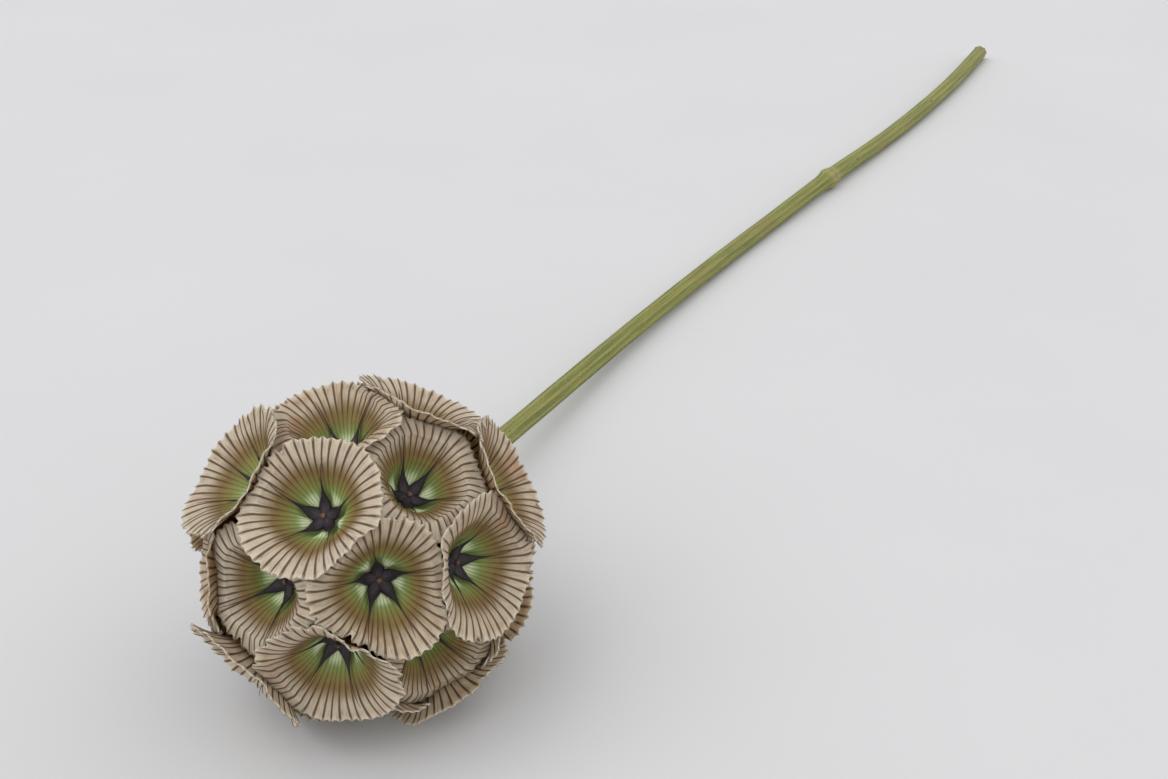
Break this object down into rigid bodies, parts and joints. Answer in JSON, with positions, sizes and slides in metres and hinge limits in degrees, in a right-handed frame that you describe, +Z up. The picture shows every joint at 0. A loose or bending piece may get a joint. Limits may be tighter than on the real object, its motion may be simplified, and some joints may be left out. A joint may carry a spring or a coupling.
{
  "type": "scabiosa flower, cut stem with papery seed head",
  "caption": "Single cut starflower scabious stem lying down: a ball of papery ribbed cups with dark stars, green bracts and a slender ridged stem.",
  "frame": {"origin": "centre of the flower's box at the height of the surface it lies on", "axes": "+X along the stem from the head to the cut end, +Z up"},
  "size_m": [0.4014, 0.0474, 0.0444],
  "materials": {
    "papery_cup": "dry translucent membrane, grey beige with brown ribs",
    "green_bract": "soft hairy leaf green",
    "green_stem": "ridged yellow green stem skin with fine hairs"
  },
  "bodies": {
    "root": {"seed_head": "papery_cup", "bracts": "green_bract", "stem": "green_stem"}
  },
  "joints": []
}
